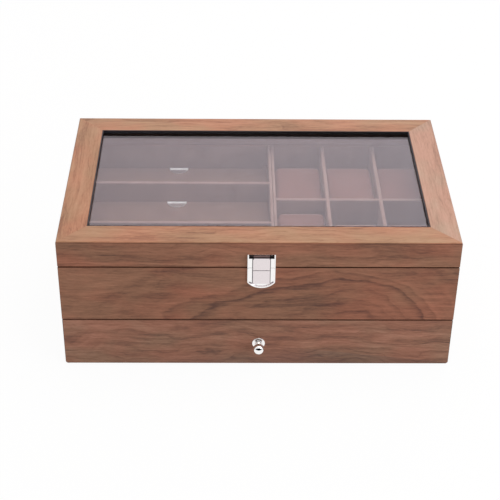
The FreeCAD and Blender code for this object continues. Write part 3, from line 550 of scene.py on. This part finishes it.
# Glasses trays. Three lift-out panels of fibreboard wrapped in velvet rest on strips at both ends, and each has a
# half-moon finger pull of chromed steel near its back edge.
def chrome(name, tint, rough):
    """Chromed steel: a mirror with a faint haze and hairlines from polishing."""
    plating = bpy.data.materials.new(name)
    tree = empty_tree(plating)
    place = add(tree, "ShaderNodeTexCoord", out="Object")
    hairs = add(tree, "ShaderNodeVectorMath", {0: place, 1: (1 / 0.004, 1 / 0.0003, 1 / 0.0003)}, operation="MULTIPLY")
    lines = add(tree, "ShaderNodeTexNoise", {"Vector": hairs, "Scale": 1.0, "Detail": 2.0})
    haze = add(tree, "ShaderNodeMapRange", {"Value": lines, "To Min": rough * 0.6, "To Max": rough * 1.6})
    bump = add(tree, "ShaderNodeBump", {"Height": lines, "Strength": 0.05, "Distance": 0.00005})
    surface = add(
        tree, "ShaderNodeBsdfPrincipled",
        {"Base Color": colour(tint), "Metallic": 1.0, "Roughness": haze, "Normal": bump},
    )
    add(tree, "ShaderNodeOutputMaterial", {"Surface": surface})
    return plating


PANEL_EASE, PULL_EASE = 0.0009, 0.0002
polished_chrome = chrome("polished_chrome", "#F8F6F5", 0.06)
brushed_chrome = chrome("brushed_chrome", "#F4F0F0", 0.32)
for row in ("front", "middle", "rear"):
    finished(f"glasses_panel_{row}", "wrapped", PANEL_EASE, brown_velvet, segments=3)
    sides = {"": polished_chrome, "+z": brushed_chrome}
    finished(f"panel_pull_{row}", "polished", PULL_EASE, sides)
lined("panel_supports", brown_velvet)


# Watch cushions. Foam blocks in velvet covers: a sleeve with an end piece sewn in at each end, so that the cover
# is drawn in along the two seams and swells between them.
cushion_velvet = velvet("rose_brown_velvet", "#84594F", "#996960", sheen=0.4)
AROUND, ALONG = 32, 16
CORNER_POWER = 0.1
DRAWN_IN = 0.02
FLANK, CROWN = 0.975, 0.025
SIDE_SLACK, END_SLACK = 0.0003, 0.0008
VOXEL = 0.003
SEAM_INSET = 0.003
SWELL = 0.0022
SETTLING = 20


def cushion_block(node):
    """The foam block that a cover starts from: rounded corners, a crowned top, drawn in towards both ends."""
    low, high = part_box(node)
    middle = (low + high) / 2
    half = (high - low) / 2 - Vector((SIDE_SLACK, END_SLACK, SIDE_SLACK))
    work = bmesh.new()
    loops = []
    for i in range(ALONG + 1):
        t = 2 * i / ALONG - 1
        shrink = 1 - DRAWN_IN * abs(t) ** 12
        loop = []
        for j in range(AROUND):
            turn = 2 * math.pi * (j + 0.5) / AROUND
            c, s = math.cos(turn), math.sin(turn)
            x = math.copysign(abs(c) ** CORNER_POWER, c)
            z = math.copysign(abs(s) ** CORNER_POWER, s)
            lift = CROWN * (1 - x * x) * (z > 0)
            height = low.z + SIDE_SLACK + half.z * (FLANK + z * (FLANK + lift)) * shrink
            loop.append(work.verts.new((middle.x + half.x * x * shrink, middle.y + half.y * t, height)))
        loops.append(loop)
    for a, b in zip(loops, loops[1:]):
        for j in range(AROUND):
            k = (j + 1) % AROUND
            work.faces.new((a[j], a[k], b[k], b[j]))
    work.faces.new(loops[0][::-1])
    work.faces.new(loops[-1])
    bmesh.ops.recalc_face_normals(work, faces=work.faces)
    mesh = bpy.data.meshes.new(f"{node}_cover")
    work.to_mesh(mesh)
    work.free()
    return mesh


def plain_mesh(piece, name):
    """What a piece looks like with its modifiers, as a mesh of its own."""
    bpy.context.view_layer.update()
    mesh = bpy.data.meshes.new_from_object(piece.evaluated_get(bpy.context.evaluated_depsgraph_get()))
    mesh.name = name
    return mesh


cushions = {}
for node in [name for name in frame["nodes"] if name.startswith("watch_cushion")]:
    cover = bpy.data.objects.new(f"{node}_cover", cushion_block(node))
    bpy.context.scene.collection.objects.link(cover)
    remesh = cover.modifiers.new("even_mesh", "REMESH")
    remesh.mode = "VOXEL"
    remesh.voxel_size = VOXEL
    even = plain_mesh(cover, f"{node}_cover")
    cover.modifiers.clear()
    cover.data = even
    low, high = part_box(node)
    seam = cover.vertex_groups.new(name="seam")
    held = [v.index for v in even.vertices if min(v.co.y - low.y, high.y - v.co.y) < SEAM_INSET]
    seam.add(held, 1.0, "REPLACE")
    cushions[node] = cover
    cloth = cover.modifiers.new("cover", "CLOTH")
    cloth.settings.mass = 0.2
    cloth.settings.tension_stiffness = 12
    cloth.settings.bending_stiffness = 0.4
    cloth.settings.use_pressure = True
    cloth.settings.uniform_pressure_force = 4
    cloth.settings.effector_weights.gravity = 0
    cloth.settings.vertex_group_mass = "seam"
for moment in range(1, SETTLING + 1):
    bpy.context.scene.frame_set(moment)
for node, cover in cushions.items():
    start = [v.co.copy() for v in cover.data.vertices]
    swollen = plain_mesh(cover, f"{node}_cover")
    cover.modifiers.clear()
    cover.vertex_groups.clear()
    low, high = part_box(node)
    for vertex, was in zip(swollen.vertices, start):
        step = vertex.co - was
        if step.length > SWELL:
            vertex.co = was + step.normalized() * SWELL
        # The walls of the slot keep the sides flat
        vertex.co.x = max(low.x, min(high.x, vertex.co.x))
    cover.data = swollen
    swollen.materials.append(cushion_velvet)
    swollen.materials.append(painted_sheen_velvet)
    # Painted sheen: the faces round each seam take the paler velvet
    for face in swollen.polygons:
        if min(face.center.y - low.y, high.y - face.center.y) < SEAM_INSET + VOXEL / 2 and abs(face.normal.y) < 0.8:
            face.material_index = 1
    swollen.shade_smooth()
    fine = cover.modifiers.new("fine", "SUBSURF")
    fine.levels = fine.render_levels = 1
    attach(cover, frame["nodes"][node]["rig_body"])
    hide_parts(node)
bpy.context.scene.frame_set(1)

# The two seams of each cover, in waxed thread. A stitch is 2.4 mm long and 0.5 mm thick, one each 3.2 mm.
STITCH_PITCH, STITCH_LENGTH, STITCH_THICKNESS = 0.0032, 0.0024, 0.0005
SEAM_POINTS = 96
thread = velvet("waxed_thread", "#6B4A42", "#8A6459", sheen=0.1)


def fitted(name, places, sizes, shape, finish, path=(), turn=(0, 0, 0)):
    """One plain mesh of like small pieces. shape builds one from tree nodes and the named sizes. They stand on the
    places, turned alike, or where path joins the places, along it, one each "pitch"."""
    tree = bpy.data.node_groups.new(name, "GeometryNodeTree")
    tree.interface.new_socket("places", in_out="INPUT", socket_type="NodeSocketGeometry")
    for size in sizes:
        tree.interface.new_socket(size, in_out="INPUT", socket_type="NodeSocketFloat")
    tree.interface.new_socket("pieces", in_out="OUTPUT", socket_type="NodeSocketGeometry")
    given = tree.nodes.new("NodeGroupInput").outputs
    points, rotation = given["places"], turn
    if path:
        line = add(tree, "GeometryNodeMeshToCurve", {"Mesh": points})
        points = add(tree, "GeometryNodeResampleCurve", {"Curve": line, "Length": given["pitch"]}, mode="LENGTH")
        tangent = add(tree, "GeometryNodeInputTangent")
        rotation = add(tree, "FunctionNodeAlignRotationToVector", {"Vector": tangent}, axis="Z")
    stood = add(
        tree, "GeometryNodeInstanceOnPoints",
        {"Points": points, "Instance": shape(tree, given), "Rotation": rotation},
    )
    real = add(tree, "GeometryNodeRealizeInstances", {"Geometry": stood})
    dressed = add(tree, "GeometryNodeSetMaterial", {"Geometry": real, "Material": finish})
    add(tree, "NodeGroupOutput", {0: dressed})

    base = bpy.data.meshes.new(name)
    base.from_pydata(places, path, [])
    holder = bpy.data.objects.new(name, base)
    bpy.context.scene.collection.objects.link(holder)
    growth = holder.modifiers.new("growth", "NODES")
    growth.node_group = tree
    for item in tree.interface.items_tree:
        if item.in_out == "INPUT" and item.name in sizes:
            growth[item.identifier] = sizes[item.name]
    grown = plain_mesh(holder, name)
    holder.modifiers.clear()
    holder.data = grown
    return holder


def stitch(tree, given):
    """A short bead of thread."""
    bead = add(tree, "GeometryNodeMeshUVSphere", {"Segments": 6, "Rings": 5, "Radius": 0.5})
    size = add(tree, "ShaderNodeCombineXYZ", {"X": given["thickness"], "Y": given["thickness"], "Z": given["length"]})
    return add(tree, "GeometryNodeTransform", {"Geometry": bead, "Scale": size})


for node, cover in cushions.items():
    low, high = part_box(node)
    middle = (low + high) / 2
    skin = BVHTree.FromPolygons(
        [v.co for v in cover.data.vertices], [list(p.vertices) for p in cover.data.polygons]
    )
    places, path = [], []
    for y in (low.y + SEAM_INSET, high.y - SEAM_INSET):
        first = len(places)
        for i in range(SEAM_POINTS):
            turn = 2 * math.pi * i / SEAM_POINTS
            hit = skin.ray_cast(Vector((middle.x, y, middle.z)), Vector((math.cos(turn), 0, math.sin(turn))))[0]
            places.append(hit)
            path.append((first + i, first + (i + 1) % SEAM_POINTS))
    seams = fitted(
        f"{node}_stitches", places,
        {"pitch": STITCH_PITCH, "length": STITCH_LENGTH, "thickness": STITCH_THICKNESS},
        stitch, thread, path=path,
    )
    seams.data.shade_smooth()
    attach(seams, frame["nodes"][node]["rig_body"])


# Drawer. A full-width walnut-veneered front is glued to a plywood box, whose floor sits in grooves, and brown velvet
# lines the inside.
# Painted light: the drawer's veneer is painted paler than the case front, to make up for the lesser light near the
# floor
DRAWER_PAINTED_LIGHT_SHADES = "#BD8D76", "#A1755F", "#755549"
drawer_front = walnut(
    "walnut_veneer_drawer", "x", DRAWER_PAINTED_LIGHT_SHADES, 0.0062, (0, -0.09, -0.06), lean=math.radians(1.2), drift=3.5, seed=9.0,
)
# Painted shade: the eased edges take the dark seam colour
finished("drawer_front", "veneered", BOARD_EASE, drawer_front, rim=painted_seam_shade)
DRAWER_EASE = 0.0008
for node in ("drawer_side_left", "drawer_side_right", "drawer_back", "drawer_bottom"):
    finished(node, "cut", DRAWER_EASE, plywood)
lined("drawer_lining", brown_velvet)


# Knob. A chromed ball on a short neck is turned in one piece and stands on a stepped rosette. A screw holds both from
# inside the drawer.
TURNED_FACES = 64
ARC_STEPS = 12
CREST = 40


def arc(centre_y, centre_r, radius, start, end):
    """Points of a quarter or longer arc of a turned outline, as (place along the axis, radius)."""
    turns = [math.radians(start + (end - start) * i / ARC_STEPS) for i in range(ARC_STEPS + 1)]
    return [(centre_y - radius * math.cos(t), centre_r + radius * math.sin(t)) for t in turns]


def turned(node, outline, finish):
    """A piece turned on a lathe about the axis of its node, which it replaces. The outline runs from the front."""
    low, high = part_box(node)
    axis_x, axis_z = (low.x + high.x) / 2, (low.z + high.z) / 2
    work = bmesh.new()
    front = work.verts.new((axis_x, outline[0][0], axis_z))
    loops = []
    for y, radius in outline[1:-1]:
        turns = [2 * math.pi * i / TURNED_FACES for i in range(TURNED_FACES)]
        loops.append([work.verts.new((axis_x + radius * math.cos(t), y, axis_z + radius * math.sin(t))) for t in turns])
    back = work.verts.new((axis_x, outline[-1][0], axis_z))
    for i in range(TURNED_FACES):
        k = (i + 1) % TURNED_FACES
        work.faces.new((front, loops[0][i], loops[0][k]))
        work.faces.new((back, loops[-1][k], loops[-1][i]))
        for a, b in zip(loops, loops[1:]):
            work.faces.new((a[i], b[i], b[k], a[k]))
    bmesh.ops.recalc_face_normals(work, faces=work.faces)
    for face in work.faces:
        face.smooth = True
    mesh = bpy.data.meshes.new(f"{node}_turned")
    work.to_mesh(mesh)
    work.free()
    mesh.set_sharp_from_angle(angle=math.radians(CREST))
    mesh.materials.append(finish)
    piece = bpy.data.objects.new(f"{node}_turned", mesh)
    bpy.context.scene.collection.objects.link(piece)
    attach(piece, frame["nodes"][node]["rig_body"])
    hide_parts(node)


low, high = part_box("drawer_knob")
BALL = (high.x - low.x) / 2
BALL_START = 8
NECK, NECK_FLARE = 0.0019, 0.0006
ball_y = low.y + BALL
ball_end = 180 - math.degrees(math.asin(NECK / BALL))
knob_outline = [(low.y, 0)] + arc(ball_y, 0, BALL, BALL_START, ball_end)
knob_outline += [(high.y - 2 * NECK_FLARE, NECK)]
knob_outline += [(high.y - NECK_FLARE, NECK + NECK_FLARE / 3), (high.y, NECK + NECK_FLARE), (high.y, 0)]
turned("drawer_knob", knob_outline, polished_chrome)

low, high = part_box("knob_rosette")
ROSETTE, BOSS = (high.x - low.x) / 2, 0.0035
ROSETTE_EDGE, BOSS_EDGE, BOSS_FOOT, DISC = 0.0006, 0.0005, 0.0002, 0.001
rosette_outline = [(low.y, 0), (low.y, BOSS - BOSS_EDGE)] + arc(low.y + BOSS_EDGE, BOSS - BOSS_EDGE, BOSS_EDGE, 0, 90)
rosette_outline += [(high.y - DISC - BOSS_FOOT, BOSS), (high.y - DISC, BOSS + BOSS_FOOT)]
rosette_outline += [(high.y - DISC, ROSETTE - ROSETTE_EDGE)]
rosette_outline += arc(high.y - DISC + ROSETTE_EDGE, ROSETTE - ROSETTE_EDGE, ROSETTE_EDGE, 0, 90)
rosette_outline += [(high.y, ROSETTE), (high.y, 0)]
turned("knob_rosette", rosette_outline, polished_chrome)
SCREW_EASE = 0.0002
finished("knob_screw", "plated", SCREW_EASE, polished_chrome)


# Latch. A chromed plate pressed from sheet is nailed to the lid, a keeper with a rounded foot to the case, and a
# creased flap turns on a pin between two ears of the plate and snaps over the keeper.
satin_chrome = chrome("satin_chrome", "#E6DDDE", 0.2)
painted_shade_grey = chrome("painted_shade_grey", "#6C6668", 0.3)
painted_shade_brown = chrome("painted_shade_brown_steel", "#5A4C4C", 0.3)
painted_shade_black = chrome("painted_shade_black_steel", "#221E1E", 0.25)
FOLDED_EDGE, SHEET_EDGE, PIN_EDGE = 0.00045, 0.00018, 0.0001
SHADE_STRIP, FOOT_SLOPE = 0.0005, 0.00095
PAN_DEPTH, RIM_CLEAR, NEAR_PAN, HEAD_DROP = 0.0011, 0.0001, 0.0003, 0.0003
plate = finished("latch_plate", "polished", SHEET_EDGE, polished_chrome)
keeper = finished("latch_keeper", "polished", SHEET_EDGE, polished_chrome)
# Painted shade: the flap's eased side edges are painted dark grey
flap = finished("latch_flap", "polished", FOLDED_EDGE, satin_chrome, rim=painted_shade_grey, along="z")
# Painted shade: the pin is painted black
pin = finished("latch_pin", "painted_shade_black", PIN_EDGE, painted_shade_black)
# The knuckles and the pin are painted black and the rolled head of the flap brown, as painted shade round the pin.
# A strip beside the sides and the foot of the flap is painted dull grey as painted shade, and the rim at the foot
# of the keeper slopes into its pan, with a satin face.
flap_low, flap_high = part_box("latch_flap")
rim_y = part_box("latch_keeper")[0].y - RIM_CLEAR
pan_y = rim_y + PAN_DEPTH
for piece in (plate, keeper):
    work = bmesh.new()
    work.from_mesh(piece.data)
    cuts = [(x, (1, 0, 0)) for x in (flap_low.x - SHADE_STRIP, flap_low.x, flap_high.x, flap_high.x + SHADE_STRIP)]
    cuts += [(z, (0, 0, 1)) for z in (flap_low.z - 2 * SHADE_STRIP, flap_low.z - SHADE_STRIP)]
    for place, across in cuts:
        whole = [*work.verts, *work.edges, *work.faces]
        bmesh.ops.bisect_plane(
            work, geom=whole, dist=SAME_PLACE, plane_co=Vector(across) * place, plane_no=across
        )
    for face in work.faces:
        spot = face.calc_center_median()
        beside = min(abs(spot.x - flap_low.x + SHADE_STRIP / 2), abs(spot.x - flap_high.x - SHADE_STRIP / 2)) < SHADE_STRIP / 2
        below = abs(spot.z - flap_low.z + 1.5 * SHADE_STRIP) < SHADE_STRIP / 2
        inside = flap_low.x - SHADE_STRIP < spot.x < flap_high.x + SHADE_STRIP and spot.z > flap_low.z - 2 * SHADE_STRIP
        # Painted shade: the knuckles in front of the rim are painted black
        if spot.y < rim_y:
            face.material_index = 1
        # Painted shade: a flat strip beside and below the flap is painted dark grey
        elif face.normal.y < -0.9 and abs(spot.y - pan_y) < NEAR_PAN and inside and (beside or below):
            face.material_index = 2
        elif face.normal.z > 0.3 and rim_y < spot.y < pan_y and spot.z < flap_low.z:
            face.material_index = 3
    for vertex in work.verts:
        walls = [f.normal for f in vertex.link_faces if f.normal.z > 0.3 and rim_y < f.calc_center_median().y < pan_y]
        corner = any(abs(f.normal.z) < 0.3 and abs(f.normal.y) < 0.9 for f in vertex.link_faces)
        if walls and not corner and abs(vertex.co.y - pan_y) < NEAR_PAN and vertex.co.z < flap_low.z:
            vertex.co += sum(walls, Vector()).normalized() * FOOT_SLOPE
    work.to_mesh(piece.data)
    work.free()
    for material in (painted_shade_black, painted_shade_grey, satin_chrome):
        piece.data.materials.append(material)
flap.data.materials.append(painted_shade_brown)
# Painted shade: the rolled head of the flap, under the pin, is painted brown
head_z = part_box("latch_pin")[0].z - HEAD_DROP
for face in flap.data.polygons:
    if face.center.z > head_z:
        face.material_index = 2

NAIL_HEAD, NAIL_HEAD_HEIGHT, NAIL_SHANK, NAIL_LENGTH = 0.0012, 0.0004, 0.0006, 0.006


def nail(tree, given):
    """A nail with a low domed head: two cones, and a straight shank below."""
    parts = []
    for wide, narrow, share, start in ((1.0, 0.9, 0.45, 0.0), (0.9, 0.55, 0.55, 0.45)):
        bottom = add(tree, "ShaderNodeMath", {0: given["head radius"], 1: wide}, operation="MULTIPLY")
        top = add(tree, "ShaderNodeMath", {0: given["head radius"], 1: narrow}, operation="MULTIPLY")
        depth = add(tree, "ShaderNodeMath", {0: given["head height"], 1: share}, operation="MULTIPLY")
        lift = add(tree, "ShaderNodeMath", {0: given["head height"], 1: start}, operation="MULTIPLY")
        cone = add(
            tree, "GeometryNodeMeshCone",
            {"Vertices": 24, "Radius Top": top, "Radius Bottom": bottom, "Depth": depth},
        )
        place = add(tree, "ShaderNodeCombineXYZ", {"Z": lift})
        parts.append(add(tree, "GeometryNodeTransform", {"Geometry": cone, "Translation": place}))
    shank = add(
        tree, "GeometryNodeMeshCylinder",
        {"Vertices": 16, "Radius": given["shank radius"], "Depth": given["shank length"]},
    )
    sunk = add(tree, "ShaderNodeMath", {0: given["shank length"], 1: -0.5}, operation="MULTIPLY")
    place = add(tree, "ShaderNodeCombineXYZ", {"Z": sunk})
    parts.append(add(tree, "GeometryNodeTransform", {"Geometry": shank, "Translation": place}))
    joined = tree.nodes.new("GeometryNodeJoinGeometry")
    for part in parts:
        tree.links.new(part, joined.inputs[0])
    return joined.outputs[0]


nail_sizes = {
    "head radius": NAIL_HEAD, "head height": NAIL_HEAD_HEIGHT, "shank radius": NAIL_SHANK, "shank length": NAIL_LENGTH,
}
for owner in ("lid", "case"):
    node = f"latch_nails_{owner}"
    low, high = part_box(node)
    face_y, height = low.y + NAIL_HEAD_HEIGHT, (low.z + high.z) / 2
    places = [(low.x + NAIL_HEAD, face_y, height), (high.x - NAIL_HEAD, face_y, height)]
    nails = fitted(f"{node}_driven", places, nail_sizes, nail, polished_chrome, turn=(math.radians(90), 0, 0))
    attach(nails, frame["nodes"][node]["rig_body"])
    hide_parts(node)


# Hinges. Two butt hinges of nickel-plated steel are let into the back board and the back rail, each leaf held by two
# countersunk screws with cross slots.
# Nickel is warmer and duller than chrome.
HINGE_EASE = 0.00015
hinge_steel = chrome("nickelled_steel", "#C9C2B8", 0.25)
for node in [n for n in frame["nodes"] if n.startswith("hinge_") and "screws" not in n]:
    finished(node, "plated", HINGE_EASE, hinge_steel)

SCREW_HEAD, SCREW_HEAD_DEPTH, SCREW_SHANK, SCREW_LENGTH = 0.0019, 0.001, 0.001, 0.007
CROSS_LENGTH, CROSS_WIDTH, CROSS_DEPTH = 0.0024, 0.0005, 0.0006


def screw(tree, given):
    """A countersunk screw with its head's face at the place, and a cross slot in it."""
    head = add(
        tree, "GeometryNodeMeshCone",
        {"Vertices": 32, "Radius Top": given["head radius"], "Radius Bottom": given["shank radius"],
         "Depth": given["head depth"]},
    )
    sunk = add(tree, "ShaderNodeMath", {0: given["head depth"], 1: -1.0}, operation="MULTIPLY")
    place = add(tree, "ShaderNodeCombineXYZ", {"Z": sunk})
    head = add(tree, "GeometryNodeTransform", {"Geometry": head, "Translation": place})
    length, width = given["cross length"], given["cross width"]
    deep = add(tree, "ShaderNodeMath", {0: given["cross depth"], 1: 2.0}, operation="MULTIPLY")
    for x, y in ((length, width), (width, length)):
        size = add(tree, "ShaderNodeCombineXYZ", {"X": x, "Y": y, "Z": deep})
        slot = add(tree, "GeometryNodeMeshCube", {"Size": size})
        head = add(
            tree, "GeometryNodeMeshBoolean", {"Mesh 1": head, "Mesh 2": slot}, operation="DIFFERENCE", solver="EXACT"
        )
    shank = add(
        tree, "GeometryNodeMeshCylinder",
        {"Vertices": 16, "Radius": given["shank radius"], "Depth": given["shank length"]},
    )
    middle = add(
        tree, "ShaderNodeMath", {0: given["shank length"], 1: -0.5, 2: sunk}, operation="MULTIPLY_ADD"
    )
    place = add(tree, "ShaderNodeCombineXYZ", {"Z": middle})
    shank = add(tree, "GeometryNodeTransform", {"Geometry": shank, "Translation": place})
    joined = tree.nodes.new("GeometryNodeJoinGeometry")
    for part in (head, shank):
        tree.links.new(part, joined.inputs[0])
    return joined.outputs[0]


screw_sizes = {
    "head radius": SCREW_HEAD, "head depth": SCREW_HEAD_DEPTH, "shank radius": SCREW_SHANK,
    "shank length": SCREW_LENGTH, "cross length": CROSS_LENGTH, "cross width": CROSS_WIDTH,
    "cross depth": CROSS_DEPTH,
}
SCREW_X = 0.0095
for owner, turn in (("case", 0), ("lid", math.radians(180))):
    node = f"hinge_screws_{owner}"
    low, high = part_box(node)
    face_z = low.z if turn else high.z
    places = []
    for side in ("left", "right"):
        leaf_low, leaf_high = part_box(f"hinge_{owner}_leaf_{side}")
        middle = (leaf_low.x + leaf_high.x) / 2
        places += [(middle + offset, (low.y + high.y) / 2, face_z) for offset in (-SCREW_X, SCREW_X)]
    screws = fitted(f"{node}_driven", places, screw_sizes, screw, hinge_steel, turn=(turn, 0, 0))
    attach(screws, frame["nodes"][node]["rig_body"])
    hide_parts(node)


# Felt. A sheet of wool felt is glued under the base, so that the box doesn't scratch what it stands on. Felt has a
# shorter, matted pile than velvet, so it is even and dull.
lined("base_felt", velvet("wool_felt", "#3B3230", "#4E4340", nap=0.3, sheen=0.1))
